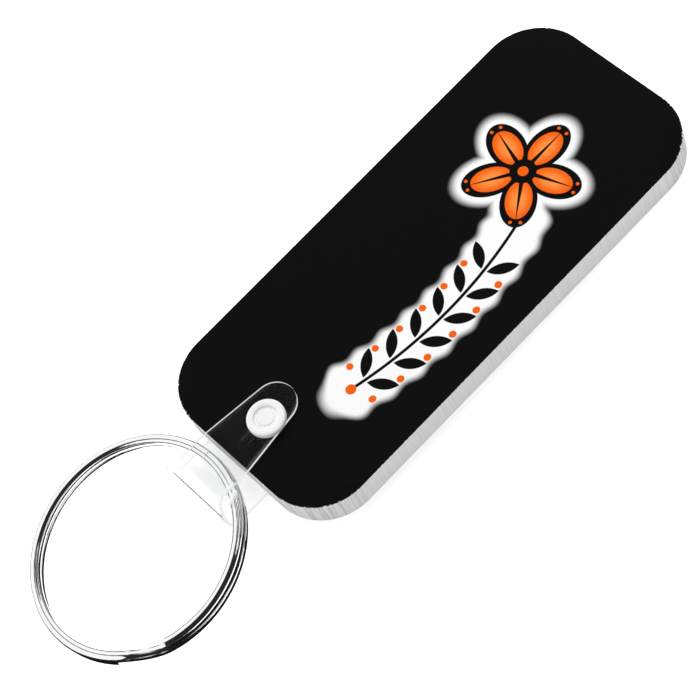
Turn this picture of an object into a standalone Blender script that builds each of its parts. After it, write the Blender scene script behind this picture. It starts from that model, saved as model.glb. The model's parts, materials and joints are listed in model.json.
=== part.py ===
"""Soft PVC key tag: a die-cut tag, a clear folded strap, a plastic snap and a split ring.

Everything is modelled in the tag's own frame, in metres: X runs from the ring end (-) to the
far end (+), Y across the tag and Z out of the printed face, with the origin in the middle of
the tag's underside. One empty then leans that frame to the attitude in which the key tag lies
on a table: on the back of its snap, on the edge of its far end, and on the split ring.
"""
import math

import bmesh
import bpy
from mathutils import Euler, Matrix, Vector

# The tag
TAG_LENGTH = 0.0794
TAG_WIDTH = 0.0349
TAG_THICKNESS = 0.00476
TAG_CORNER_RADIUS = 0.0088
TAG_EDGE_ROUND = 0.00025

# The clear strap: a narrow tongue on the printed side, a wide leg on the back
STRAP_THICKNESS = 0.0005
STRAP_SEAT_GAP = 0.0001
STRAP_SHIFT = 0.0011
TONGUE_TIP_REACH = 0.0057
TONGUE_TIP_RADIUS = 0.0033
TONGUE_WIDTH = 0.0090
STRAP_WIDTH = 0.0125
FOLD_RADIUS = 0.0020

# The snap, set in from the tag's ring end
SNAP_INSET = 0.0071
SNAP_DIAMETER = 0.0058
STUD_CAP_HEIGHT = 0.0009
STUD_EDGE_ROUND = 0.0004
DISH_DIAMETER = 0.0037
DISH_DEPTH = 0.0004
DISH_SLOPE = 0.0002
POST_DIAMETER = 0.0022
POST_NOSE = 0.0004
POST_TIP_GAP = 0.0002
BARREL_WALL = 0.0005
BARREL_SETBACK = 0.0001
SOCKET_CAP_HEIGHT = 0.0013
SOCKET_EDGE_ROUND = 0.0006
SOCKET_FLOOR = 0.0006
POST_CLEARANCE = 0.00005
HOLE_CLEARANCE = 0.0001

# The split ring: one flat wire that goes round twice
RING_DIAMETER = 0.0338
WIRE_WIDTH = 0.0016
WIRE_HEIGHT = 0.00105
WIRE_ROUND = 0.0003
TURN_GAP = 0.00008
UPPER_END_ANGLE = math.radians(-114.0)
STEP_ANGLE = math.radians(24.0)
END_GAP_ANGLE = math.radians(3.5)

# How the ring lies in the loop
RING_TO_TAG = 0.0012
LOOP_PLAY = 0.0039
RING_SHIFT = 0.0030
SWING_INSET = 0.0011
RING_ROLL = math.radians(6.5)
STEEPEST_SLOPE = math.radians(40.0)
FLOOR_GAP = 0.00002

# How finely round shapes are divided
CORNER_SEGMENTS = 14
TURNED_STEPS = 40
EDGE_STEPS = 4
TURN_STEPS = 60
STRAP_COLUMNS = 4
WELD = 0.000001

# Sizes that follow
TAG_END = TAG_LENGTH / 2
SNAP_X = -TAG_END + SNAP_INSET
SNAP_RADIUS = SNAP_DIAMETER / 2
POST_RADIUS = POST_DIAMETER / 2
BORE_RADIUS = POST_RADIUS + POST_CLEARANCE
BARREL_RADIUS = BORE_RADIUS + BARREL_WALL
HOLE_RADIUS = BARREL_RADIUS + HOLE_CLEARANCE
STRAP_TOP = TAG_THICKNESS + STRAP_SEAT_GAP + STRAP_THICKNESS
STRAP_BOTTOM = -STRAP_SEAT_GAP - STRAP_THICKNESS
STUD_SEAT = STRAP_TOP + STRAP_SEAT_GAP
STUD_TOP = STUD_SEAT + STUD_CAP_HEIGHT
SOCKET_SEAT = STRAP_BOTTOM - STRAP_SEAT_GAP
SOCKET_BOTTOM = SOCKET_SEAT - SOCKET_CAP_HEIGHT
BORE_FLOOR = SOCKET_BOTTOM + SOCKET_FLOOR
POST_END = BORE_FLOOR + POST_TIP_GAP
BARREL_TOP = TAG_THICKNESS - BARREL_SETBACK
LOOP_ROOM = RING_TO_TAG + WIRE_WIDTH + LOOP_PLAY
FOLD_X = -TAG_END - LOOP_ROOM - STRAP_THICKNESS / 2
TURN_PITCH = WIRE_HEIGHT + TURN_GAP
WIRE_RADIUS = (RING_DIAMETER - WIRE_WIDTH) / 2
RING_HALF_HEIGHT = (TURN_PITCH + WIRE_HEIGHT) / 2
WIRE_NEAR_X = -TAG_END - RING_TO_TAG - WIRE_WIDTH / 2
SWING_POINT = Vector((WIRE_NEAR_X - SWING_INSET, RING_SHIFT, TAG_THICKNESS / 2))

# The table touches the rim of the snap's back and the bottom edge of the far end
REST_EDGE = TAG_END - TAG_EDGE_ROUND
REST_RIM = SNAP_X + SNAP_RADIUS - SOCKET_EDGE_ROUND
LEAN = math.atan2(-SOCKET_BOTTOM, REST_EDGE - REST_RIM)
LEAN_TURN = Matrix.Rotation(LEAN, 3, "Y")
TABLE_HEIGHT = (LEAN_TURN @ Vector((REST_EDGE, 0, 0))).z


def clear_scene():
    for old in list(bpy.data.objects):
        bpy.data.objects.remove(old, do_unlink=True)


def new_collection(name):
    collection = bpy.data.collections.new(name)
    bpy.context.scene.collection.children.link(collection)
    return collection


def new_material(name, colour, roughness, metallic=0.0, alpha=1.0):
    material = bpy.data.materials.new(name)
    material.use_nodes = True
    shader = material.node_tree.nodes["Principled BSDF"]
    shader.inputs["Base Color"].default_value = (*colour, 1.0)
    shader.inputs["Roughness"].default_value = roughness
    shader.inputs["Metallic"].default_value = metallic
    shader.inputs["Alpha"].default_value = alpha
    return material


def add_object(name, data, collection, parent=None, material=None):
    thing = bpy.data.objects.new(name, data)
    collection.objects.link(thing)
    thing.parent = parent
    if material is not None:
        data.materials.append(material)
    return thing


def mesh_from(bm, name):
    mesh = bpy.data.meshes.new(name)
    bm.to_mesh(mesh)
    bm.free()
    return mesh


def shade_round(mesh, angle=35.0):
    mesh.shade_smooth()
    mesh.set_sharp_from_angle(angle=math.radians(angle))


def ease(share):
    """A smooth rise from 0 to 1."""
    return share * share * (3 - 2 * share)


def add_hole(target, radius, low, high, cutters, parent):
    """A round hole through the target on the snap's axis."""
    bm = bmesh.new()
    bmesh.ops.create_cone(bm, cap_ends=True, segments=TURNED_STEPS, radius1=radius, radius2=radius,
                          depth=high - low)
    cutter = add_object(target.name + "_hole", mesh_from(bm, target.name + "_hole"), cutters, parent)
    cutter.location = (SNAP_X, 0, (low + high) / 2)
    cutter.hide_render = True
    cutter.display_type = "WIRE"
    cut = target.modifiers.new("hole", "BOOLEAN")
    cut.object = cutter
    cut.operation = "DIFFERENCE"
    cut.solver = "EXACT"


def part_flat_faces(bm):
    """Parts the tag's top and underside along a line that the strap is clear of on its far side."""
    near_corner = Vector((-TAG_END, -TAG_WIDTH / 2))
    far_corner = Vector((TAG_END - TAG_CORNER_RADIUS, TAG_WIDTH / 2))
    for flat in [f for f in bm.faces if f.calc_area() > TAG_LENGTH * TAG_WIDTH / 2]:
        line = []
        for corner in (near_corner, far_corner):
            line.append(min(flat.verts, key=lambda v: (v.co.xy - corner).length))
        bmesh.ops.connect_verts(bm, verts=line)


def make_tag(parts, cutters, parent):
    """A die-cut white slab, printed black on top, with round corners and the hole for the snap."""
    bm = bmesh.new()
    bmesh.ops.create_cube(bm, size=1.0)
    bmesh.ops.scale(bm, vec=(TAG_LENGTH, TAG_WIDTH, TAG_THICKNESS), verts=bm.verts)
    bmesh.ops.translate(bm, vec=(0, 0, TAG_THICKNESS / 2), verts=bm.verts)
    upright = [e for e in bm.edges if abs(e.verts[0].co.z - e.verts[1].co.z) > TAG_THICKNESS / 2]
    bmesh.ops.bevel(bm, geom=upright, offset=TAG_CORNER_RADIUS, segments=CORNER_SEGMENTS,
                    profile=0.5, affect="EDGES")
    rims = [e for e in bm.edges if any(abs(f.normal.z) > 0.9 for f in e.link_faces)]
    bmesh.ops.bevel(bm, geom=rims, offset=TAG_EDGE_ROUND, segments=2, profile=0.5, affect="EDGES")
    part_flat_faces(bm)
    for face in bm.faces:
        if face.normal.z > 0.9 and face.calc_center_median().z > TAG_THICKNESS / 2:
            face.material_index = 1
    mesh = mesh_from(bm, "tag")
    shade_round(mesh)
    tag = add_object("tag", mesh, parts, parent, new_material("white soft pvc", (0.86, 0.86, 0.85), 0.6))
    mesh.materials.append(new_material("black print", (0.008, 0.008, 0.008), 0.45))
    add_hole(tag, HOLE_RADIUS, -TAG_THICKNESS, 2 * TAG_THICKNESS, cutters, parent)
    return tag


def strap_stations():
    """Points down the middle of the strap's sheet: (x, z, half width), from tip to back end."""
    top = STRAP_TOP - STRAP_THICKNESS / 2
    bottom = STRAP_BOTTOM + STRAP_THICKNESS / 2
    tip_centre = SNAP_X + TONGUE_TIP_REACH - TONGUE_TIP_RADIUS
    taper_length = tip_centre + TAG_END
    taper = math.asin((TONGUE_WIDTH / 2 - TONGUE_TIP_RADIUS) / taper_length)
    stations = []
    tip_steps = CORNER_SEGMENTS
    for i in range(tip_steps + 1):
        angle = (math.pi / 2 - taper) * i / tip_steps
        stations.append((tip_centre + TONGUE_TIP_RADIUS * math.cos(angle), top,
                         TONGUE_TIP_RADIUS * math.sin(angle)))
    stations.append((-TAG_END, top, TONGUE_WIDTH / 2))
    fold = []
    for i in range(2 * EDGE_STEPS + 1):
        angle = math.pi / 2 * i / (2 * EDGE_STEPS)
        fold.append((FOLD_X + FOLD_RADIUS * (1 - math.sin(angle)),
                     top - FOLD_RADIUS * (1 - math.cos(angle))))
    flare_steps = len(fold) - 1
    for i, (x, z) in enumerate(fold):
        stations.append((x, z, (TONGUE_WIDTH + ease(i / flare_steps) * (STRAP_WIDTH - TONGUE_WIDTH)) / 2))
    for x, z in reversed(fold):
        stations.append((x, top + bottom - z, STRAP_WIDTH / 2))
    for i in range(CORNER_SEGMENTS + 1):
        angle = math.pi / 2 * i / CORNER_SEGMENTS
        stations.append((SNAP_X + STRAP_WIDTH / 2 * math.sin(angle), bottom,
                         STRAP_WIDTH / 2 * math.cos(angle)))
    return stations


def make_strap(parts, cutters, parent):
    """A clear sheet folded round the tag's ring end, holed for the snap in both legs."""
    bm = bmesh.new()
    rows = []
    for x, z, half in strap_stations():
        row = []
        for i in range(STRAP_COLUMNS + 1):
            across = 2 * i / STRAP_COLUMNS - 1
            row.append(bm.verts.new((x, STRAP_SHIFT + half * across, z)))
        rows.append(row)
    for first, second in zip(rows, rows[1:]):
        for i in range(STRAP_COLUMNS):
            bm.faces.new((first[i], first[i + 1], second[i + 1], second[i]))
    bmesh.ops.remove_doubles(bm, verts=bm.verts, dist=WELD)
    bmesh.ops.recalc_face_normals(bm, faces=bm.faces)
    mesh = mesh_from(bm, "strap")
    shade_round(mesh)
    strap = add_object("strap", mesh, parts, parent,
                       new_material("clear pvc", (0.93, 0.94, 0.95), 0.12, alpha=0.3))
    wall = strap.modifiers.new("thickness", "SOLIDIFY")
    wall.thickness = STRAP_THICKNESS
    wall.offset = 0.0
    wall.use_even_offset = True
    add_hole(strap, HOLE_RADIUS, STRAP_BOTTOM - TAG_THICKNESS, STRAP_TOP + TAG_THICKNESS, cutters, parent)
    return strap


def round_edge(centre_x, centre_z, radius, start, turn):
    """Points of a quarter-round edge, as (radius from the axis, height)."""
    points = []
    for i in range(EDGE_STEPS + 1):
        angle = start + turn * i / EDGE_STEPS
        points.append((centre_x + radius * math.cos(angle), centre_z + radius * math.sin(angle)))
    return points


def turned(name, profile, parts, parent, material):
    """A solid turned round the snap's axis from its half section."""
    bm = bmesh.new()
    verts = [bm.verts.new((x, 0, z)) for x, z in profile]
    for first, second in zip(verts, verts[1:]):
        bm.edges.new((first, second))
    piece = add_object(name, mesh_from(bm, name), parts, parent, material)
    piece.location = (SNAP_X, 0, 0)
    screw = piece.modifiers.new("turn", "SCREW")
    screw.steps = TURNED_STEPS
    screw.render_steps = TURNED_STEPS
    screw.use_merge_vertices = True
    screw.merge_threshold = WELD
    screw.use_smooth_shade = True
    return piece


def make_snap_stud(parts, parent, material):
    """The front cap with its dish, and the post that goes down through strap and tag."""
    dish = DISH_DIAMETER / 2
    dish_floor = STUD_TOP - DISH_DEPTH
    profile = [(0, dish_floor), (dish - DISH_SLOPE, dish_floor), (dish, STUD_TOP)]
    profile += round_edge(SNAP_RADIUS - STUD_EDGE_ROUND, STUD_TOP - STUD_EDGE_ROUND, STUD_EDGE_ROUND,
                          math.pi / 2, -math.pi / 2)
    profile += [(SNAP_RADIUS, STUD_SEAT), (POST_RADIUS, STUD_SEAT), (POST_RADIUS, POST_END + POST_NOSE),
                (POST_RADIUS - POST_NOSE, POST_END), (0, POST_END)]
    return turned("snap_stud", profile, parts, parent, material)


def make_snap_socket(parts, parent, material):
    """The back cap with the barrel that grips the post."""
    profile = [(0, BORE_FLOOR), (BORE_RADIUS, BORE_FLOOR), (BORE_RADIUS, BARREL_TOP),
               (BARREL_RADIUS, BARREL_TOP), (BARREL_RADIUS, SOCKET_SEAT), (SNAP_RADIUS, SOCKET_SEAT)]
    profile += round_edge(SNAP_RADIUS - SOCKET_EDGE_ROUND, SOCKET_BOTTOM + SOCKET_EDGE_ROUND,
                          SOCKET_EDGE_ROUND, 0, -math.pi / 2)
    profile += [(0, SOCKET_BOTTOM)]
    return turned("snap_socket", profile, parts, parent, material)


def ring_lowest(slope):
    """Height over the table of the ring's lowest point, for a slope of the ring in the loop."""
    turn = Euler((-RING_ROLL, -slope, 0)).to_matrix()
    centre = SWING_POINT + turn @ Vector((SWING_INSET - WIRE_RADIUS, 0, 0))
    tilt = (LEAN_TURN @ turn.col[2]).angle(Vector((0, 0, 1)))
    reach = RING_DIAMETER / 2 * math.sin(tilt) + RING_HALF_HEIGHT * math.cos(tilt)
    return (LEAN_TURN @ centre).z - reach - TABLE_HEIGHT


def resting_slope():
    """The slope at which the ring just touches the table."""
    low, high = 0.0, STEEPEST_SLOPE
    for _ in range(60):
        middle = (low + high) / 2
        if ring_lowest(middle) > FLOOR_GAP:
            low = middle
        else:
            high = middle
    return low


def wire_points():
    """The middle line of the wire, from the cut end of the upper turn to that of the lower."""
    step_start = 2 * math.pi - STEP_ANGLE
    last = 4 * math.pi - STEP_ANGLE - END_GAP_ANGLE
    count = round(2 * TURN_STEPS * last / (4 * math.pi))
    points = []
    for i in range(count + 1):
        along = last * i / count
        drop = ease(min(max((along - step_start) / STEP_ANGLE, 0.0), 1.0))
        angle = UPPER_END_ANGLE + along
        points.append((WIRE_RADIUS * math.cos(angle) + SWING_INSET - WIRE_RADIUS,
                       WIRE_RADIUS * math.sin(angle), TURN_PITCH * (0.5 - drop)))
    return points


def wire_section(cutters):
    """The wire's flat section with its rounded corners, as a closed outline."""
    outline = bpy.data.curves.new("wire_section", "CURVE")
    outline.dimensions = "2D"
    corner_x = WIRE_WIDTH / 2 - WIRE_ROUND
    corner_y = WIRE_HEIGHT / 2 - WIRE_ROUND
    points = []
    for i, (sx, sy) in enumerate(((1, 1), (-1, 1), (-1, -1), (1, -1))):
        for j in range(3):
            angle = math.pi / 2 * (i + j / 2)
            points.append((sx * corner_x + WIRE_ROUND * math.cos(angle),
                           sy * corner_y + WIRE_ROUND * math.sin(angle)))
    spline = outline.splines.new("POLY")
    spline.points.add(len(points) - 1)
    for point, (x, y) in zip(spline.points, points):
        point.co = (x, y, 0, 1)
    spline.use_cyclic_u = True
    section = add_object("wire_section", outline, cutters)
    section.hide_render = True
    section.display_type = "WIRE"
    return section


def make_split_ring(parts, cutters, parent):
    """The flat wire wound twice, its upper turn stepping down to the lower one."""
    path = bpy.data.curves.new("split_ring", "CURVE")
    path.dimensions = "3D"
    path.twist_mode = "Z_UP"
    path.bevel_mode = "OBJECT"
    path.bevel_object = wire_section(cutters)
    path.use_fill_caps = True
    points = wire_points()
    spline = path.splines.new("POLY")
    spline.points.add(len(points) - 1)
    for point, co in zip(spline.points, points):
        point.co = (*co, 1)
    guide = add_object("split_ring_path", path, cutters, parent)
    evaluated = guide.evaluated_get(bpy.context.evaluated_depsgraph_get())
    mesh = bpy.data.meshes.new_from_object(evaluated)
    bm = bmesh.new()
    bm.from_mesh(mesh)
    bmesh.ops.remove_doubles(bm, verts=bm.verts, dist=WELD)
    bmesh.ops.recalc_face_normals(bm, faces=bm.faces)
    bm.to_mesh(mesh)
    bm.free()
    shade_round(mesh)
    bpy.data.objects.remove(guide, do_unlink=True)
    ring = add_object("split_ring", mesh, parts, parent,
                      new_material("bright chrome", (0.85, 0.86, 0.88), 0.12, metallic=1.0))
    ring.location = SWING_POINT
    ring.rotation_euler = (-RING_ROLL, -resting_slope(), 0)
    return ring


def main():
    clear_scene()
    parts = new_collection("soft_pvc_keychain")
    cutters = new_collection("cutters")
    lying = add_object("lying", None, parts)
    lying.rotation_euler = (0, LEAN, 0)
    snap_plastic = new_material("white snap plastic", (0.88, 0.88, 0.88), 0.3)
    make_tag(parts, cutters, lying)
    make_strap(parts, cutters, lying)
    make_snap_stud(parts, lying, snap_plastic)
    make_snap_socket(parts, lying, snap_plastic)
    make_split_ring(parts, cutters, lying)


main()
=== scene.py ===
"""Looks of the soft PVC key tag: its die-cut tag and print, clear strap, snap and split ring.

Each piece is modelled flat in the tag's own frame, in metres, and then laid down as the solids
lie: X runs from the ring end (-) to the far end (+), Y across the tag and Z out of the print.
"""
import json
import math
from statistics import median

import bmesh
import bpy
from mathutils import Matrix, Vector


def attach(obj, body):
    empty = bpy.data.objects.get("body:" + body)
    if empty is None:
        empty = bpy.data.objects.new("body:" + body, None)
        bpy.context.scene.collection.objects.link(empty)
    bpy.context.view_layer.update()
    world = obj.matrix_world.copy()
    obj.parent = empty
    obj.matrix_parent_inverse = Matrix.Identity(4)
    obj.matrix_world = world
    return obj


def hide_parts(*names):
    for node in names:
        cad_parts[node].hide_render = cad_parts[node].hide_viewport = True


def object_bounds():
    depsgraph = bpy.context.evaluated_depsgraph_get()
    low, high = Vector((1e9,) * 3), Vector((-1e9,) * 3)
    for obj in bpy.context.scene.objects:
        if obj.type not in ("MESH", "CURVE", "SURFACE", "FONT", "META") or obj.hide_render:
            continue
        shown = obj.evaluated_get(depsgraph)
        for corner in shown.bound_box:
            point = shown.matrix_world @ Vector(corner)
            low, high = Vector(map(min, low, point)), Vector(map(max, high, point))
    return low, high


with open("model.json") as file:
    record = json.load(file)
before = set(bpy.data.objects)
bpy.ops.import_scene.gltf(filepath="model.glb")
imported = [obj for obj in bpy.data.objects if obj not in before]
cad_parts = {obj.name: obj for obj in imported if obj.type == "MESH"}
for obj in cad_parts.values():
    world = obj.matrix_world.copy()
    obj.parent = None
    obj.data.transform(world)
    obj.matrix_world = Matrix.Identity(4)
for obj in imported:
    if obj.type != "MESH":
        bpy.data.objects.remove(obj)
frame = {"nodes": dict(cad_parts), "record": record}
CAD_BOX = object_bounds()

MM = 0.001

# The photograph's view
CAMERA_PLACE = (-0.057338, -0.153628, 0.284705)
CAMERA_TURN = (25.226, 15.6496, -44.5288)
CAMERA_LENS = 117.4
CAMERA_SENSOR = 36.0

# The lie of the tag, from the solids
TAG_BACK = next(m for m in frame["record"]["mounts"] if m["name"] == "tag_back")
LEAN = math.atan2(-TAG_BACK["axis"][0], -TAG_BACK["axis"][2])
LYING = Matrix.Rotation(LEAN, 4, "Y")


def span(node, place=LYING):
    """Lowest and highest corner of a solid in the frame of a place."""
    corners = [place.inverted() @ v.co for v in frame["nodes"][node].data.vertices]
    low = Vector([min(c[i] for c in corners) for i in range(3)])
    high = Vector([max(c[i] for c in corners) for i in range(3)])
    return low, high


# The tag
TAG_LOW, TAG_HIGH = span("tag")
TAG_SIZE = TAG_HIGH - TAG_LOW
TAG_TOP = TAG_HIGH.z
TAG_CORNER_RADIUS = 8.8 * MM
CORNER_SEGMENTS = 72
SIDE_CUTS = 240
END_CUTS = 72
WALL_ROWS = 5
TOP_ROUND = 0.12 * MM
BACK_ROUND = 0.25 * MM
CUT_ROUGHNESS = 0.11 * MM
CUT_PITCH = 0.33 * MM
CUT_LENGTH = 6.0 * MM

# The strap
STRAP_LOW, STRAP_HIGH = span("strap")
STRAP_THICKNESS = 0.5 * MM
STRAP_MIDDLE = (STRAP_LOW.y + STRAP_HIGH.y) / 2
STRAP_HALF = (STRAP_HIGH.y - STRAP_LOW.y) / 2
TONGUE_HALF = 4.5 * MM
TONGUE_TIP_RADIUS = 3.3 * MM
TONGUE_TIP_REACH = 5.7 * MM
FOLD_RADIUS = 2.0 * MM
FOLD_STEPS = 14
TIP_STEPS = 24
STRAP_COLUMNS = 12
CUT_EDGE_ROUND = 0.24 * MM

# The snap
STUD_LOW, STUD_HIGH = span("snap_stud")
SOCKET_LOW, SOCKET_HIGH = span("snap_socket")
SNAP_X = (STUD_LOW.x + STUD_HIGH.x) / 2
SNAP_RADIUS = (STUD_HIGH.x - STUD_LOW.x) / 2
SNAP_STEPS = 96
STUD_CAP_HEIGHT = 0.9 * MM
STUD_EDGE = 0.42 * MM
DISH_RADIUS = 1.85 * MM
DISH_DEPTH = 0.4 * MM
DISH_SLOPE = 0.12 * MM
DISC_RADIUS = 1.3 * MM
DISC_RISE = 0.16 * MM
SOCKET_CAP_HEIGHT = 1.3 * MM
SOCKET_EDGE = 0.6 * MM
SOCKET_FLOOR = 0.6 * MM
SMALL_CHAMFER = 0.1 * MM
POST_RADIUS = 1.1 * MM
POST_NOSE = 0.4 * MM
BORE_RADIUS = 1.15 * MM
BARREL_RADIUS = 1.65 * MM
HOLE_RADIUS = 1.75 * MM

# The split ring's wire
WIRE_WIDTH = 1.6 * MM
WIRE_HEIGHT = 1.05 * MM
TURN_PITCH = 1.13 * MM
WIRE_POINTS = 32
WIRE_SQUARENESS = 0.5
TURN_STEPS = 160
STEP_STEPS = 16
UPPER_END = math.radians(-114.0)
STEP_ANGLE = math.radians(24.0)
END_GAP = math.radians(3.5)

# The studio: what the floor, the room and the lamp give
FLOOR_SIZE = 6.0
FLOOR_GLOW = 0.6
ROOM_LEVEL = 0.55
SIDE_LIGHT_MIDDLE = Vector((-0.85, 0.5, 0.2)).normalized()
SIDE_LIGHT_LEVEL = 1.3
SIDE_LIGHT_RIM = (0.82, 0.92)
KEY_PLACE = (0.18, 0.22, 0.42)
KEY_SIZE = 0.30
KEY_ENERGY = 1.4

# The dark cards that polished things mirror. The pairs from WEDGE_END to LOW_CARD_TOP are where
# a card starts to show and where it is full.
CARD_SHADE = 0.02
CARD_SOFTNESS = 0.03
WEDGE_MIDDLE = -0.135
WEDGE_TIP = 0.70
WEDGE_TIP_HALF = 0.035
WEDGE_OPENING = 0.5
WEDGE_END = (-0.42, -0.32)
FRONT_CARD_EDGE = (-0.50, -0.65)
FRONT_CARD_TOP = (0.66, 0.58)
LOW_CARD_TOP = (0.05, 0.0)
ROUND_CARD_MIDDLE = Vector((0.115, 0.483, 0.868)).normalized()
ROUND_CARD_ANGLE = math.radians(4.5)
ROUND_CARD_SOFT_ANGLE = math.radians(6.5)

# The round dark sheets of painted shade on the floor, seen only in reflections: offset from the ring's
# middle, inner and outer radius
FLOOR_CARD_LIFT = 0.05 * MM
FLOOR_CARD_STEPS = 96
FLOOR_SHADE_CARDS = (
    (Vector((-3.0 * MM, 5.2 * MM, 0)), 0.1 * MM, 7.5 * MM),
    (Vector((0, 0, 0)), 16.9 * MM, 45.0 * MM),
)


def select(kind, test):
    """Selects only those vertices, edges or faces of the mesh in edit mode that pass a test."""
    mesh = bpy.context.edit_object.data
    bpy.ops.mesh.select_mode(type=kind)
    bpy.ops.mesh.select_all(action="DESELECT")
    shape = bmesh.from_edit_mesh(mesh)
    for part in {"VERT": shape.verts, "EDGE": shape.edges, "FACE": shape.faces}[kind]:
        if test(part):
            part.select_set(True)
    shape.select_flush_mode()
    bmesh.update_edit_mesh(mesh)


def start_piece(name, materials, add, stretch=(1.0, 1.0, 1.0), **settings):
    """Adds a primitive, names and dresses it and opens it for shaping, with nothing selected."""
    bpy.ops.object.select_all(action="DESELECT")
    add(**settings)
    piece = bpy.context.active_object
    piece.scale = stretch
    for material in materials:
        piece.data.materials.append(material)
    piece.name = name
    piece.data.name = name
    bpy.ops.object.transform_apply(location=True, rotation=True, scale=True)
    bpy.ops.object.mode_set(mode="EDIT")
    bpy.ops.mesh.select_all(action="DESELECT")
    return piece


def modify(piece, kind, **settings):
    """Adds a modifier and applies it."""
    modifier = piece.modifiers.new(kind.lower(), kind)
    for name, value in settings.items():
        setattr(modifier, name, value)
    bpy.context.view_layer.objects.active = piece
    bpy.ops.object.modifier_apply(modifier=modifier.name)


def drill(piece, radius, centre, depth):
    """A round hole along Z."""
    bpy.ops.object.select_all(action="DESELECT")
    bpy.ops.mesh.primitive_cylinder_add(vertices=SNAP_STEPS, radius=radius, depth=depth, location=centre)
    cutter = bpy.context.active_object
    modify(piece, "BOOLEAN", object=cutter, operation="DIFFERENCE", solver="EXACT")
    bpy.data.objects.remove(cutter, do_unlink=True)


def finish_piece(piece, body, node, place=LYING, angle=30.0):
    """Lays the piece where the solid lies, shades it and lets it ride."""
    bpy.ops.object.select_all(action="DESELECT")
    piece.select_set(True)
    bpy.context.view_layer.objects.active = piece
    piece.data.transform(place)
    bpy.ops.object.shade_smooth_by_angle(angle=math.radians(angle))
    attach(piece, body)
    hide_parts(node)


class Nodes:
    """A node tree, with short names for the nodes used most."""

    def __init__(self, tree):
        self.tree = tree

    def add(self, kind, feeds=(), **settings):
        """A node with its settings, and a value or a link for each socket in feeds."""
        node = self.tree.nodes.new(kind)
        for name, value in settings.items():
            setattr(node, name, value)
        for socket, value in dict(feeds).items():
            self.feed(node.inputs[socket], value)
        return node

    def feed(self, socket, value):
        if isinstance(value, bpy.types.NodeSocket):
            self.tree.links.new(value, socket)
        else:
            socket.default_value = value

    def math(self, operation, first, second=0.0, third=0.0):
        feeds = {0: first, 1: second, 2: third}
        return self.add("ShaderNodeMath", feeds, operation=operation).outputs[0]

    def fade(self, value, start, end):
        """From 0 where the value is at the start to 1 at the end."""
        feeds = {"Value": value, "From Min": start, "From Max": end}
        return self.add("ShaderNodeMapRange", feeds, interpolation_type="SMOOTHSTEP").outputs[0]

    def nearness(self, towards, middle):
        """The cosine of the angle between a direction and a middle one."""
        feeds = {0: towards, 1: middle}
        return self.add("ShaderNodeVectorMath", feeds, operation="DOT_PRODUCT").outputs["Value"]

    def blend(self, share, first, second):
        """From the first number where the share is 0 to the second where it is 1."""
        feeds = {"Factor": share, "A": first, "B": second}
        return self.add("ShaderNodeMix", feeds, data_type="FLOAT").outputs["Result"]

    def mix(self, share, first, second):
        """The same for two colours."""
        node = self.add("ShaderNodeMix", data_type="RGBA")
        self.feed(node.inputs["Factor"], share)
        self.feed(node.inputs["A"], first)
        self.feed(node.inputs["B"], second)
        return node.outputs["Result"]


class Finish(Nodes):
    """One material, with its pattern places and its bump."""

    def __init__(self, name, **sockets):
        self.material = bpy.data.materials.new(name)
        self.material.use_nodes = True
        super().__init__(self.material.node_tree)
        self.shader = self.tree.nodes["Principled BSDF"]
        for socket, value in sockets.items():
            self.shader.inputs[socket.replace("_", " ")].default_value = value

    def place(self, stretch=(1.0, 1.0, 1.0)):
        """Millimetres in the tag's own frame, stretched for a pattern."""
        here = self.add("ShaderNodeTexCoord").outputs["Object"]
        feeds = {"Vector": here, "Rotation": (0, -LEAN, 0)}
        level = self.add("ShaderNodeMapping", feeds, vector_type="POINT").outputs[0]
        scale = tuple(s / MM for s in stretch)
        return self.add("ShaderNodeMapping", {"Vector": level, "Scale": scale}).outputs[0]

    def noise(self, place, scale, detail=2.0):
        feeds = {"Vector": place, "Scale": scale, "Detail": detail}
        return self.add("ShaderNodeTexNoise", feeds).outputs[0]

    def colour(self, value):
        self.feed(self.shader.inputs["Base Color"], value)

    def bump(self, height, distance):
        feeds = {"Height": height, "Distance": distance, "Strength": 1.0}
        self.feed(self.shader.inputs["Normal"], self.add("ShaderNodeBump", feeds).outputs[0])


# The print, in millimetres on the tag's face
INK_BLACK = (0.0042, 0.0042, 0.0042, 1)
INK_WHITE = (0.95, 0.95, 0.95, 1)
INK_ORANGE = (0.90, 0.125, 0.006, 1)
INK_LIGHT_ORANGE = (1.0, 0.29, 0.055, 1)
INK_EDGE = 0.04
STEM_CENTRE = (-4.0, 62.0)
STEM_RADIUS = 70.0
STEM_START, STEM_END = -17.8, 16.0
STEM_HALF = 0.24
LEAF_PITCH = 4.6
LEAF_PAIRS_START, LEAF_PAIRS_END = -3.5, 2.5
LEAF_OFFSET = 2.15
LEAF_ANGLE = math.radians(46.0)
LEAF_HALF_LENGTH = 2.35
LEAF_HALF_WIDTH = 0.85
BERRY_OFFSET = 3.15
BERRY_RADIUS = 0.55
BUD_RADIUS = 0.8
FLOWER_CENTRE = (18.6, -0.9)
PETALS = 5
PETAL_DISTANCE = 5.0
PETAL_HALF_LENGTH = 4.2
PETAL_HALF_WIDTH = 2.75
CELL_DISTANCE = 4.7
CELL_HALF_LENGTH = 3.1
CELL_HALF_WIDTH = 2.0
DOT_DISTANCE = 8.35
DOT_ASIDE = 0.75
DOT_RADIUS = 0.26
PETAL_RIM = (1.01, 0.98)
VEIN_HALF = 0.42
VEIN_TAPER = -0.05
ORANGE_BLEND = (1.0, 0.2)
HEART_RADIUS = 2.0
HEART_CORE_RADIUS = 0.8
GLOW_WIDTH = 1.2
GLOW_ROUND_STEM = 4.3
GLOW_WAVE = 0.3
GLOW_SOFTNESS = 0.7


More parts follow.
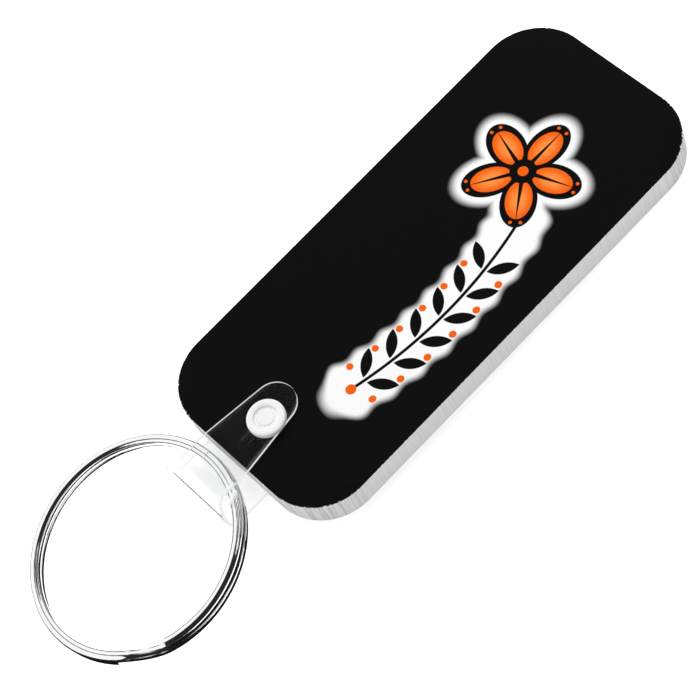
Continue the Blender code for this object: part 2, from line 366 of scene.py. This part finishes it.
def ellipse(finish, x, y, half_length, half_width):
    """1 on the ellipse's edge and less inside; with both halves 1, the distance itself."""
    a = finish.math("DIVIDE", x, half_length)
    b = finish.math("DIVIDE", y, half_width)
    return finish.math("SQRT", finish.math("MULTIPLY_ADD", a, a, finish.math("MULTIPLY", b, b)))


def turned(finish, x, y, angle):
    """The two coordinates along and across a direction."""
    c, s = math.cos(angle), math.sin(angle)
    along = finish.math("MULTIPLY_ADD", x, c, finish.math("MULTIPLY", y, s))
    across = finish.math("MULTIPLY_ADD", y, c, finish.math("MULTIPLY", x, -s))
    return along, across


def print_colour(finish, place):
    """A leafy sprig with berries and one flower, each on a soft white glow."""
    split = finish.add("ShaderNodeSeparateXYZ", {0: place})
    x, y = split.outputs[0], split.outputs[1]

    # The stem is an arc: how far along it, and how far out from it
    right = finish.math("SUBTRACT", x, STEM_CENTRE[0])
    down = finish.math("SUBTRACT", STEM_CENTRE[1], y)
    along = finish.math("MULTIPLY", finish.math("ARCTAN2", right, down), STEM_RADIUS)
    out = finish.math("SUBTRACT", ellipse(finish, right, down, 1.0, 1.0), STEM_RADIUS)
    side = finish.math("ABSOLUTE", out)
    feeds = {"Value": along, "Min": STEM_START, "Max": STEM_END}
    nearest = finish.add("ShaderNodeClamp", feeds).outputs[0]
    past_end = finish.math("SUBTRACT", along, nearest)
    from_stem = ellipse(finish, past_end, side, 1.0, 1.0)
    stem = finish.fade(from_stem, STEM_HALF + INK_EDGE, STEM_HALF - INK_EDGE)

    # Pointed leaves in pairs
    pair = finish.math("DIVIDE", along, LEAF_PITCH)
    cell = finish.math("WRAP", along, LEAF_PITCH / 2, -LEAF_PITCH / 2)
    leaf_x, leaf_y = turned(finish, cell, finish.math("SUBTRACT", side, LEAF_OFFSET), LEAF_ANGLE)
    hollow = (LEAF_HALF_LENGTH ** 2 - LEAF_HALF_WIDTH ** 2) / (2 * LEAF_HALF_WIDTH)
    bowed = finish.math("ADD", finish.math("ABSOLUTE", leaf_y), hollow)
    leaf_edge = hollow + LEAF_HALF_WIDTH
    from_leaf = ellipse(finish, leaf_x, bowed, 1.0, 1.0)
    leaf = finish.fade(from_leaf, leaf_edge + INK_EDGE, leaf_edge - INK_EDGE)
    leaf = finish.math("MULTIPLY", leaf, finish.math("GREATER_THAN", pair, LEAF_PAIRS_START))
    leaf = finish.math("MULTIPLY", leaf, finish.math("LESS_THAN", pair, LEAF_PAIRS_END))

    # Berries between the leaves
    shifted = finish.math("ADD", along, LEAF_PITCH / 2)
    between = finish.math("WRAP", shifted, LEAF_PITCH / 2, -LEAF_PITCH / 2)
    from_berry = ellipse(finish, between, finish.math("SUBTRACT", side, BERRY_OFFSET), 1.0, 1.0)
    berry = finish.fade(from_berry, BERRY_RADIUS + INK_EDGE, BERRY_RADIUS - INK_EDGE)
    berry = finish.math("MULTIPLY", berry, finish.math("GREATER_THAN", pair, LEAF_PAIRS_START - 0.5))
    berry = finish.math("MULTIPLY", berry, finish.math("LESS_THAN", pair, LEAF_PAIRS_END - 0.5))
    from_bud = ellipse(finish, finish.math("SUBTRACT", along, STEM_START), side, 1.0, 1.0)
    bud = finish.fade(from_bud, BUD_RADIUS + INK_EDGE, BUD_RADIUS - INK_EDGE)
    berry = finish.math("MAXIMUM", berry, bud)

    # The flower, one petal repeated round its heart
    flower_x = finish.math("SUBTRACT", x, FLOWER_CENTRE[0])
    flower_y = finish.math("SUBTRACT", y, FLOWER_CENTRE[1])
    reach = ellipse(finish, flower_x, flower_y, 1.0, 1.0)
    bearing = finish.math("ARCTAN2", flower_y, flower_x)
    bearing = finish.math("WRAP", bearing, math.pi / PETALS, -math.pi / PETALS)
    petal_x = finish.math("MULTIPLY", reach, finish.math("COSINE", bearing))
    petal_y = finish.math("ABSOLUTE", finish.math("MULTIPLY", reach, finish.math("SINE", bearing)))
    from_petal = finish.math("SUBTRACT", petal_x, PETAL_DISTANCE)
    in_petal = ellipse(finish, from_petal, petal_y, PETAL_HALF_LENGTH, PETAL_HALF_WIDTH)
    petal = finish.fade(in_petal, *PETAL_RIM)
    heart = finish.fade(reach, HEART_RADIUS + INK_EDGE, HEART_RADIUS - INK_EDGE)
    core = finish.fade(reach, HEART_CORE_RADIUS + INK_EDGE, HEART_CORE_RADIUS - INK_EDGE)
    in_cell = finish.math("SUBTRACT", petal_x, CELL_DISTANCE)
    in_cell = ellipse(finish, in_cell, petal_y, CELL_HALF_LENGTH, CELL_HALF_WIDTH)
    vein_half = finish.math("MULTIPLY_ADD", petal_x, VEIN_TAPER, VEIN_HALF)
    vein = finish.fade(finish.math("SUBTRACT", petal_y, vein_half), INK_EDGE, -INK_EDGE)
    no_vein = finish.math("SUBTRACT", 1.0, vein)
    filled = finish.math("MULTIPLY", finish.fade(in_cell, *PETAL_RIM), no_vein)
    filled = finish.math("MULTIPLY", filled, finish.math("SUBTRACT", 1.0, heart))
    from_dot = ellipse(finish, finish.math("SUBTRACT", petal_x, DOT_DISTANCE),
                       finish.math("SUBTRACT", petal_y, DOT_ASIDE), 1.0, 1.0)
    dot = finish.fade(from_dot, DOT_RADIUS + INK_EDGE, DOT_RADIUS - INK_EDGE)
    filled = finish.math("MAXIMUM", finish.math("MAXIMUM", filled, dot), core)

    # The glow under it all
    wave = finish.math("COSINE", finish.math("MULTIPLY", pair, 2 * math.pi))
    glow_half = finish.math("MULTIPLY_ADD", wave, GLOW_WAVE, GLOW_ROUND_STEM)
    round_stem = finish.math("SUBTRACT", from_stem, glow_half)
    glow_length = PETAL_HALF_LENGTH + GLOW_WIDTH
    glow_width = PETAL_HALF_WIDTH + GLOW_WIDTH
    wide = ellipse(finish, from_petal, petal_y, glow_length, glow_width)
    round_petal = finish.math("MULTIPLY", finish.math("SUBTRACT", wide, 1.0), glow_width)
    round_flower = finish.math("MINIMUM", round_petal, finish.math("SUBTRACT", reach, PETAL_DISTANCE))
    from_glow = finish.math("SMOOTH_MIN", round_stem, round_flower, 1.0)
    glow = finish.fade(from_glow, GLOW_SOFTNESS, -GLOW_SOFTNESS)

    sprig = finish.math("MAXIMUM", stem, leaf)
    black = finish.math("MAXIMUM", sprig, finish.math("MAXIMUM", petal, heart))
    colour = finish.mix(glow, INK_BLACK, INK_WHITE)
    colour = finish.mix(black, colour, INK_BLACK)
    colour = finish.mix(berry, colour, INK_ORANGE)
    orange = finish.mix(finish.fade(in_cell, *ORANGE_BLEND), INK_ORANGE, INK_LIGHT_ORANGE)
    return finish.mix(filled, colour, orange)


# The other colours
PVC_WHITE = (0.90, 0.90, 0.895, 1)
# Painted shade: the darker grey laid into the cut grooves of the walls
PVC_SHADE_IN_CUTS = (0.68, 0.68, 0.68, 1)
CUT_SHEET_DARK = (0.30, 0.31, 0.31, 1)
CUT_SHEET_LIGHT = (0.38, 0.39, 0.39, 1)
SNAP_DARK = (0.87, 0.87, 0.87, 1)
SNAP_LIGHT = (0.92, 0.92, 0.92, 1)


def printed_pvc():
    """White soft PVC with the print on its face; the cut leaves the print's rim a little ragged."""
    finish = Finish("printed_pvc", Roughness=0.6, Specular_IOR_Level=0.03)
    place = finish.place()
    x, y, height = finish.add("ShaderNodeSeparateXYZ", {0: place}).outputs

    # How far out from the print's rim, and where the corners are
    past_x = finish.math("SUBTRACT", finish.math("ABSOLUTE", x), (TAG_HIGH.x - TAG_CORNER_RADIUS) / MM)
    past_y = finish.math("SUBTRACT", finish.math("ABSOLUTE", y), (TAG_HIGH.y - TAG_CORNER_RADIUS) / MM)
    corner = finish.fade(finish.math("MINIMUM", past_x, past_y), -1.5, 2.0)
    out_x = finish.math("MAXIMUM", past_x, 0.0)
    out_y = finish.math("MAXIMUM", past_y, 0.0)
    outward = ellipse(finish, out_x, out_y, 1.0, 1.0)
    inward = finish.math("MINIMUM", finish.math("MAXIMUM", past_x, past_y), 0.0)
    from_rim = finish.math("SUBTRACT", finish.math("ADD", outward, inward), TAG_CORNER_RADIUS / MM)

    # The ink, less what the cut tore off
    torn = finish.fade(finish.noise(place, 3.0, 3.0), 0.50, 0.75)
    torn = finish.math("MULTIPLY", torn, finish.math("MULTIPLY_ADD", corner, 0.12, 0.06))
    kept = finish.fade(finish.math("ADD", from_rim, torn), -0.02, -0.07)
    ragged = finish.math("MULTIPLY", finish.noise(place, 2.4, 3.0), 0.16)
    inked = finish.fade(finish.math("ADD", height, ragged), TAG_TOP / MM - 0.03, TAG_TOP / MM + 0.01)
    inked = finish.math("MULTIPLY", inked, kept)

    # The upright marks of the cut, which are strongest in the corners: bumped grooves with painted shade,
    # a darker grey, in them
    streaks = finish.noise(finish.place((4.0, 4.0, 0.12)), 1.0, 3.0)
    depth = finish.math("MULTIPLY_ADD", corner, 0.75, 0.25)
    marks = finish.math("MULTIPLY", finish.fade(streaks, 0.38, 0.62), depth)
    pvc = finish.mix(marks, PVC_WHITE, PVC_SHADE_IN_CUTS)
    finish.colour(finish.mix(inked, pvc, print_colour(finish, place)))
    cut = finish.math("MULTIPLY", finish.math("SUBTRACT", 1.0, inked), marks)
    grain = finish.math("MULTIPLY", finish.noise(place, 1.3, 2.0), 0.15)
    finish.bump(finish.math("SUBTRACT", grain, cut), 0.00003)
    return finish.material


def clear_pvc():
    """The strap's clear sheet."""
    finish = Finish("clear_pvc", Base_Color=(0.99, 0.993, 0.993, 1), Roughness=0.02, IOR=1.38,
                    Transmission_Weight=0.995, Specular_IOR_Level=0.12)
    waves = finish.noise(finish.place(), 0.25, 1.0)
    finish.bump(waves, 0.000004)
    return finish.material


def cut_clear_pvc():
    """The strap's cut edge, which is rough, with a painted white glow (emission) that makes it shine."""
    finish = Finish("cut_clear_pvc", Roughness=0.5, Specular_IOR_Level=0.3,
                    Emission_Color=(1, 1, 1, 1), Emission_Strength=0.6)
    streaks = finish.noise(finish.place((2.0, 2.0, 0.3)), 1.0, 2.0)
    finish.colour(finish.mix(streaks, CUT_SHEET_DARK, CUT_SHEET_LIGHT))
    return finish.material


def snap_plastic():
    """Moulded white plastic."""
    finish = Finish("snap_plastic", Roughness=0.28, Specular_IOR_Level=0.4)
    cloud = finish.noise(finish.place(), 0.8, 2.0)
    finish.colour(finish.mix(cloud, SNAP_DARK, SNAP_LIGHT))
    finish.bump(finish.noise(finish.place(), 3.0, 2.0), 0.00001)
    return finish.material


def bright_chrome():
    """Polished plating with faint marks along the wire."""
    finish = Finish("bright_chrome", Base_Color=(0.93, 0.935, 0.94, 1), Metallic=1.0)
    marks = finish.noise(finish.place(), 1.6, 4.0)
    finish.feed(finish.shader.inputs["Roughness"], finish.math("MULTIPLY_ADD", marks, 0.10, 0.01))
    finish.bump(finish.noise(finish.place(), 0.5, 2.0), 0.00002)
    return finish.material


def make_tag(materials):
    """A slab with round corners, cut from sheet: its walls carry the marks of the cut."""
    piece = start_piece("tag_slab", materials, bpy.ops.mesh.primitive_cube_add, size=1.0,
                        stretch=TAG_SIZE, location=(TAG_LOW + TAG_HIGH) / 2)
    half_height = TAG_TOP / 2
    flat_area = TAG_SIZE.x * TAG_SIZE.y / 2
    select("EDGE", lambda e: abs(e.verts[0].co.z - e.verts[1].co.z) > half_height)
    bpy.ops.mesh.bevel(offset=TAG_CORNER_RADIUS, segments=CORNER_SEGMENTS, profile=0.5, affect="EDGES")

    def rim_side(edge, axis):
        a, b = edge.verts[0].co, edge.verts[1].co
        return abs(a[axis] - b[axis]) > TAG_CORNER_RADIUS and abs(a.z - b.z) < half_height

    select("EDGE", lambda e: rim_side(e, 0))
    bpy.ops.mesh.subdivide(number_cuts=SIDE_CUTS)
    select("EDGE", lambda e: rim_side(e, 1))
    bpy.ops.mesh.subdivide(number_cuts=END_CUTS)
    for level, rounding in ((TAG_TOP, TOP_ROUND), (TAG_LOW.z, BACK_ROUND)):
        select("EDGE", lambda e: all(abs(v.co.z - level) < 1e-7 for v in e.verts)
               and any(abs(f.normal.z) < 0.5 for f in e.link_faces))
        bpy.ops.mesh.bevel(offset=rounding, segments=3, profile=0.5, affect="EDGES")
        select("EDGE", lambda e: any(f.calc_area() > flat_area for f in e.link_faces))
        bpy.ops.mesh.mark_sharp()
    select("EDGE", lambda e: abs(e.verts[0].co.z - e.verts[1].co.z) > half_height)
    bpy.ops.mesh.subdivide(number_cuts=WALL_ROWS)
    bpy.ops.object.mode_set(mode="OBJECT")
    roughen_walls(piece)
    drill(piece, HOLE_RADIUS, (SNAP_X, 0, half_height), TAG_SIZE.x / 2)
    finish_piece(piece, "tag", "tag")


def roughen_walls(piece):
    """Upright marks of the cut in the walls, a few hundredths of a millimetre deep."""
    walls = piece.vertex_groups.new(name="walls")
    for vertex in piece.data.vertices:
        rise = min(vertex.co.z - TAG_LOW.z, TAG_TOP - vertex.co.z)
        in_corner = min(TAG_HIGH.x - abs(vertex.co.x), TAG_HIGH.y - abs(vertex.co.y)) / TAG_CORNER_RADIUS
        weight = min(max(rise / TOP_ROUND, 0.0), 1.0) * (0.35 + min(in_corner, 1.0) * 2.2)
        walls.add([vertex.index], min(weight, 1.0), "REPLACE")
    marks = bpy.data.textures.new("cut_marks", "CLOUDS")
    marks.noise_scale = 1.0
    marks.noise_depth = 2
    guide = bpy.data.objects.new("cut_guide", None)
    bpy.context.scene.collection.objects.link(guide)
    guide.scale = (CUT_PITCH, CUT_PITCH, CUT_LENGTH)
    bpy.context.view_layer.update()
    modify(piece, "DISPLACE", texture=marks, texture_coords="OBJECT", texture_coords_object=guide,
           strength=CUT_ROUGHNESS, mid_level=0.6, vertex_group=walls.name)
    piece.vertex_groups.clear()
    bpy.data.objects.remove(guide, do_unlink=True)


def strap_path():
    """Steps down the middle of the sheet, from the tongue's tip to the back end: (x, z, half width)."""
    top = STRAP_HIGH.z - STRAP_THICKNESS / 2
    bottom = STRAP_LOW.z + STRAP_THICKNESS / 2
    fold_x = STRAP_LOW.x + STRAP_THICKNESS / 2
    tip_centre = SNAP_X + TONGUE_TIP_REACH - TONGUE_TIP_RADIUS
    taper = math.asin((TONGUE_HALF - TONGUE_TIP_RADIUS) / (tip_centre - TAG_LOW.x))
    path = []
    for i in range(TIP_STEPS + 1):
        angle = (math.pi / 2 - taper) * i / TIP_STEPS
        path.append((tip_centre + TONGUE_TIP_RADIUS * math.cos(angle), top,
                     TONGUE_TIP_RADIUS * math.sin(angle)))
    path.append((TAG_LOW.x, top, TONGUE_HALF))
    for i in range(FOLD_STEPS + 1):
        angle = math.pi / 2 * i / FOLD_STEPS
        share = i / FOLD_STEPS
        flare = share * share * (3 - 2 * share)
        path.append((fold_x + FOLD_RADIUS * (1 - math.sin(angle)),
                     top - FOLD_RADIUS * (1 - math.cos(angle)),
                     TONGUE_HALF + flare * (STRAP_HALF - TONGUE_HALF)))
    for i in range(FOLD_STEPS + 1):
        angle = math.pi / 2 * i / FOLD_STEPS
        path.append((fold_x + FOLD_RADIUS * (1 - math.cos(angle)),
                     bottom + FOLD_RADIUS * (1 - math.sin(angle)),
                     STRAP_HALF))
    for i in range(TIP_STEPS + 1):
        angle = math.pi / 2 * i / TIP_STEPS
        path.append((SNAP_X + STRAP_HALF * math.sin(angle), bottom, STRAP_HALF * math.cos(angle)))
    return path


def make_strap(materials):
    """One sheet drawn out row by row from the tongue's tip, round the fold and on to the back end."""
    path = strap_path()
    x, z, half = path[1]
    piece = start_piece("strap_sheet", materials, bpy.ops.mesh.primitive_grid_add, x_subdivisions=1,
                        y_subdivisions=STRAP_COLUMNS, size=1.0, stretch=(path[0][0] - x, 2 * half, 1.0),
                        location=((path[0][0] + x) / 2, STRAP_MIDDLE, z))
    tip = (path[0][0] + x) / 2
    select("VERT", lambda v: v.co.x > tip)
    bpy.ops.mesh.merge(type="CENTER")
    select("EDGE", lambda e: all(v.co.x < tip for v in e.verts))
    for (x, z, half), (next_x, next_z, next_half) in zip(path[1:-1], path[2:]):
        bpy.ops.mesh.extrude_edges_move(TRANSFORM_OT_translate={"value": (next_x - x, 0, next_z - z)})
        stretch = max(next_half, 1e-6) / half
        bpy.ops.transform.resize(value=(1, stretch, 1), center_override=(0, STRAP_MIDDLE, 0))
    bpy.ops.mesh.merge(type="CENTER")
    bpy.ops.mesh.select_all(action="SELECT")
    bpy.ops.mesh.remove_doubles(threshold=1e-6)
    bpy.ops.mesh.normals_make_consistent(inside=False)
    bpy.ops.object.mode_set(mode="OBJECT")
    # The cut rims, and after them the rounding of their edges, take the edge's material and so its
    # painted glow
    modify(piece, "SOLIDIFY", thickness=STRAP_THICKNESS, offset=0.0, material_offset_rim=1)
    drill(piece, HOLE_RADIUS, (SNAP_X, 0, TAG_TOP / 2), TAG_SIZE.x / 2)
    modify(piece, "BEVEL", width=CUT_EDGE_ROUND, segments=3, limit_method="ANGLE",
           angle_limit=math.radians(50), material=1)
    finish_piece(piece, "tag", "strap", angle=15.0)


def quarter(radius_centre, height_centre, rounding, start, steps=8):
    """A quarter-round of a half section, turning clockwise, as (radius, height)."""
    points = []
    for i in range(steps + 1):
        angle = start - math.pi / 2 * i / steps
        points.append((radius_centre + rounding * math.cos(angle),
                       height_centre + rounding * math.sin(angle)))
    return points


def turn_piece(name, profile, materials, node):
    """A round piece: a disc is drawn out from its rim along the half section and closed at the end."""
    radius, height = profile[0]
    piece = start_piece(name, materials, bpy.ops.mesh.primitive_circle_add, vertices=SNAP_STEPS,
                        radius=radius, fill_type="NGON", location=(SNAP_X, 0, height))
    select("EDGE", lambda e: True)
    for next_radius, next_height in profile[1:]:
        bpy.ops.mesh.extrude_edges_move(TRANSFORM_OT_translate={"value": (0, 0, next_height - height)})
        stretch = next_radius / radius
        bpy.ops.transform.resize(value=(stretch, stretch, 1), center_override=(SNAP_X, 0, next_height))
        radius, height = next_radius, next_height
    bpy.ops.mesh.edge_face_add()
    bpy.ops.mesh.select_all(action="SELECT")
    bpy.ops.mesh.normals_make_consistent(inside=False)
    bpy.ops.object.mode_set(mode="OBJECT")
    finish_piece(piece, "tag", node, angle=40.0)


def make_snap(materials):
    """The front cap with its dish and post, and the back cap with its barrel."""
    top = STUD_HIGH.z
    seat = top - STUD_CAP_HEIGHT
    floor = top - DISH_DEPTH
    stud = [(DISC_RADIUS - DISC_RISE, floor + DISC_RISE), (DISC_RADIUS, floor),
            (DISH_RADIUS - DISH_SLOPE, floor), (DISH_RADIUS, top - DISH_SLOPE / 2),
            (DISH_RADIUS + DISH_SLOPE, top)]
    stud += quarter(SNAP_RADIUS - STUD_EDGE, top - STUD_EDGE, STUD_EDGE, math.pi / 2)
    stud += [(SNAP_RADIUS, seat + SMALL_CHAMFER), (SNAP_RADIUS - SMALL_CHAMFER, seat),
             (POST_RADIUS, seat), (POST_RADIUS, STUD_LOW.z + POST_NOSE),
             (POST_RADIUS - POST_NOSE, STUD_LOW.z)]
    turn_piece("snap_front", stud, materials, "snap_stud")
    bottom = SOCKET_LOW.z
    seat = bottom + SOCKET_CAP_HEIGHT
    bore_floor = bottom + SOCKET_FLOOR
    socket = [(BORE_RADIUS - SMALL_CHAMFER, bore_floor), (BORE_RADIUS, bore_floor + SMALL_CHAMFER),
              (BORE_RADIUS, SOCKET_HIGH.z), (BARREL_RADIUS, SOCKET_HIGH.z), (BARREL_RADIUS, seat),
              (SNAP_RADIUS - SMALL_CHAMFER, seat), (SNAP_RADIUS, seat - SMALL_CHAMFER)]
    socket += quarter(SNAP_RADIUS - SOCKET_EDGE, bottom + SOCKET_EDGE, SOCKET_EDGE, 0.0)
    turn_piece("snap_back", socket, materials, "snap_socket")


def ring_place():
    """The split ring's own frame, from its solid: Z is its axis, X lies across the tag's lean."""
    tops = [face.normal for face in frame["nodes"]["split_ring"].data.polygons if face.normal.z > 0.95]
    axis = Vector([median(normal[i] for normal in tops) for i in range(3)]).normalized()
    along = Vector((axis.z, 0, -axis.x)).normalized()
    across = axis.cross(along)
    place = Matrix((along, across, axis)).transposed().to_4x4()
    low, high = span("split_ring", place)
    place.translation = place @ ((low + high) / 2)
    return place, (high.x - low.x) / 2


def make_split_ring(materials):
    """The wire's section spun round the ring's axis: one turn, the step down, and the second turn."""
    place, radius = ring_place()
    middle = radius - WIRE_WIDTH / 2
    piece = start_piece("ring_wire", materials, bpy.ops.mesh.primitive_circle_add, vertices=WIRE_POINTS,
                        radius=1.0, fill_type="NOTHING", rotation=(math.pi / 2, 0, 0))
    bpy.ops.object.mode_set(mode="OBJECT")
    modify(piece, "CAST", cast_type="CUBOID", factor=WIRE_SQUARENESS)
    bpy.ops.object.mode_set(mode="EDIT")
    bpy.ops.mesh.select_all(action="SELECT")
    wide = max(vertex.co.x for vertex in bmesh.from_edit_mesh(piece.data).verts)
    tall = max(vertex.co.z for vertex in bmesh.from_edit_mesh(piece.data).verts)
    stretch = (WIRE_WIDTH / 2 / wide, 1, WIRE_HEIGHT / 2 / tall)
    bpy.ops.transform.resize(value=stretch, center_override=(0, 0, 0))
    bpy.ops.transform.translate(value=(middle, 0, TURN_PITCH / 2))
    bpy.ops.object.mode_set(mode="OBJECT")
    piece.rotation_euler.z = UPPER_END
    bpy.ops.object.transform_apply(rotation=True)
    bpy.ops.object.mode_set(mode="EDIT")
    bpy.ops.mesh.select_all(action="SELECT")
    spin = {"center": (0, 0, 0), "axis": (0, 0, -1)}
    bpy.ops.mesh.spin(steps=TURN_STEPS, angle=2 * math.pi - STEP_ANGLE, **spin)
    fallen = 0.0
    for i in range(1, STEP_STEPS + 1):
        share = i / STEP_STEPS
        fall = TURN_PITCH * share * share * (3 - 2 * share)
        bpy.ops.mesh.spin(steps=1, angle=STEP_ANGLE / STEP_STEPS, **spin)
        bpy.ops.transform.translate(value=(0, 0, fallen - fall))
        fallen = fall
    bpy.ops.mesh.spin(steps=TURN_STEPS, angle=2 * math.pi - STEP_ANGLE - END_GAP, **spin)
    bpy.ops.mesh.edge_face_add()
    select("EDGE", lambda e: e.is_boundary)
    bpy.ops.mesh.edge_face_add()
    bpy.ops.mesh.select_all(action="SELECT")
    bpy.ops.mesh.normals_make_consistent(inside=False)
    bpy.ops.object.mode_set(mode="OBJECT")
    finish_piece(piece, "ring", "split_ring", place, angle=45.0)


def make_stage():
    """A white floor that keeps a faint shadow, soft lights and the room that polished metal shows."""
    floor_height = CAD_BOX[0].z
    bpy.ops.object.select_all(action="DESELECT")
    bpy.ops.mesh.primitive_plane_add(size=FLOOR_SIZE, location=(0, 0, floor_height))
    floor = bpy.context.active_object
    floor.name = "floor"
    paper = Finish("white_floor", Base_Color=(0.92, 0.92, 0.92, 1), Roughness=1.0, Specular_IOR_Level=0.0)
    path = paper.add("ShaderNodeLightPath")
    seen = paper.math("MAXIMUM", path.outputs["Is Camera Ray"], path.outputs["Is Transmission Ray"])
    seen = paper.math("MAXIMUM", seen, path.outputs["Is Glossy Ray"])
    paper.shader.inputs["Emission Color"].default_value = (1, 1, 1, 1)
    paper.feed(paper.shader.inputs["Emission Strength"], paper.math("MULTIPLY", seen, FLOOR_GLOW))
    floor.data.materials.append(paper.material)

    # Painted shade: dark sheets that only reflections see, standing in for the shade under and inside the
    # ring
    mirrored_shade = Finish("mirrored_shade", Base_Color=(0.01, 0.01, 0.01, 1), Roughness=1.0,
                         Specular_IOR_Level=0.0)
    ring_middle = ring_place()[0].translation
    for offset, inner, outer in FLOOR_SHADE_CARDS:
        spot = Vector((ring_middle.x, ring_middle.y, floor_height + FLOOR_CARD_LIFT)) + offset
        bpy.ops.mesh.primitive_circle_add(vertices=FLOOR_CARD_STEPS, radius=inner, fill_type="NOTHING",
                                          location=spot)
        card = bpy.context.active_object
        card.name = "mirrored_shade_card"
        bpy.ops.object.mode_set(mode="EDIT")
        bpy.ops.mesh.select_all(action="SELECT")
        bpy.ops.mesh.extrude_edges_move(TRANSFORM_OT_translate={"value": (0, 0, 0)})
        bpy.ops.transform.resize(value=(outer / inner, outer / inner, 1), center_override=card.location)
        bpy.ops.object.mode_set(mode="OBJECT")
        card.data.materials.append(mirrored_shade.material)
        card.visible_camera = False
        card.visible_diffuse = False
        card.visible_transmission = False
        card.visible_shadow = False

    scene = bpy.context.scene
    scene.world = bpy.data.worlds.new("studio")
    scene.world.use_nodes = True
    scene.world.node_tree.nodes.clear()
    room = Nodes(scene.world.node_tree)
    towards = room.add("ShaderNodeTexCoord").outputs["Generated"]
    x, y, z = room.add("ShaderNodeSeparateXYZ", {0: towards}).outputs
    behind_tip = room.math("SUBTRACT", WEDGE_TIP, y)
    aside = room.math("ABSOLUTE", room.math("SUBTRACT", x, WEDGE_MIDDLE))
    aside = room.math("MULTIPLY_ADD", behind_tip, -WEDGE_OPENING, aside)
    top_card = room.fade(aside, WEDGE_TIP_HALF + CARD_SOFTNESS, WEDGE_TIP_HALF)
    tip_card = room.fade(behind_tip, -CARD_SOFTNESS / 2, CARD_SOFTNESS / 2)
    top_card = room.math("MULTIPLY", top_card, tip_card)
    top_card = room.math("MULTIPLY", top_card, room.fade(y, *WEDGE_END))
    front_card = room.math("MULTIPLY", room.fade(y, *FRONT_CARD_EDGE), room.fade(z, *FRONT_CARD_TOP))
    low_card = room.fade(z, *LOW_CARD_TOP)
    round_card = room.fade(room.nearness(towards, ROUND_CARD_MIDDLE), math.cos(ROUND_CARD_SOFT_ANGLE),
                           math.cos(ROUND_CARD_ANGLE))
    cards = room.math("MAXIMUM", top_card, round_card)
    for dark in (front_card, low_card):
        cards = room.math("MAXIMUM", cards, dark)
    shine = room.math("MULTIPLY_ADD", cards, CARD_SHADE - 1.0, 1.0)
    path = room.add("ShaderNodeLightPath").outputs
    seen = room.math("MAXIMUM", path["Is Camera Ray"], path["Is Transmission Ray"])
    side_light = room.fade(room.nearness(towards, SIDE_LIGHT_MIDDLE), *SIDE_LIGHT_RIM)
    light = room.math("MULTIPLY_ADD", side_light, SIDE_LIGHT_LEVEL, ROOM_LEVEL)
    light = room.blend(seen, light, 1.0)
    light = room.blend(path["Is Glossy Ray"], light, shine)
    background = room.add("ShaderNodeBackground", {"Color": (1, 1, 1, 1), "Strength": light})
    room.add("ShaderNodeOutputWorld", {"Surface": background.outputs[0]})

    key = bpy.data.lights.new("key", "AREA")
    key.shape = "RECTANGLE"
    key.size = KEY_SIZE
    key.size_y = KEY_SIZE
    key.energy = KEY_ENERGY
    lamp = bpy.data.objects.new("key", key)
    scene.collection.objects.link(lamp)
    lamp.location = KEY_PLACE
    lamp.rotation_mode = "QUATERNION"
    lamp.rotation_quaternion = Vector(lamp.location).to_track_quat("Z", "Y")
    lamp.visible_glossy = False
    lamp.visible_transmission = False


def make_camera():
    """The camera that was solved from the photograph."""
    data = bpy.data.cameras.new("camera")
    data.lens = CAMERA_LENS
    data.sensor_width = CAMERA_SENSOR
    data.clip_start = 0.01
    camera = bpy.data.objects.new("camera", data)
    bpy.context.scene.collection.objects.link(camera)
    camera.location = CAMERA_PLACE
    camera.rotation_euler = [math.radians(angle) for angle in CAMERA_TURN]
    bpy.context.scene.camera = camera


make_camera()
make_stage()
make_tag([printed_pvc()])
make_strap([clear_pvc(), cut_clear_pvc()])
make_snap([snap_plastic()])
make_split_ring([bright_chrome()])
bpy.context.scene.view_settings.view_transform = "Standard"
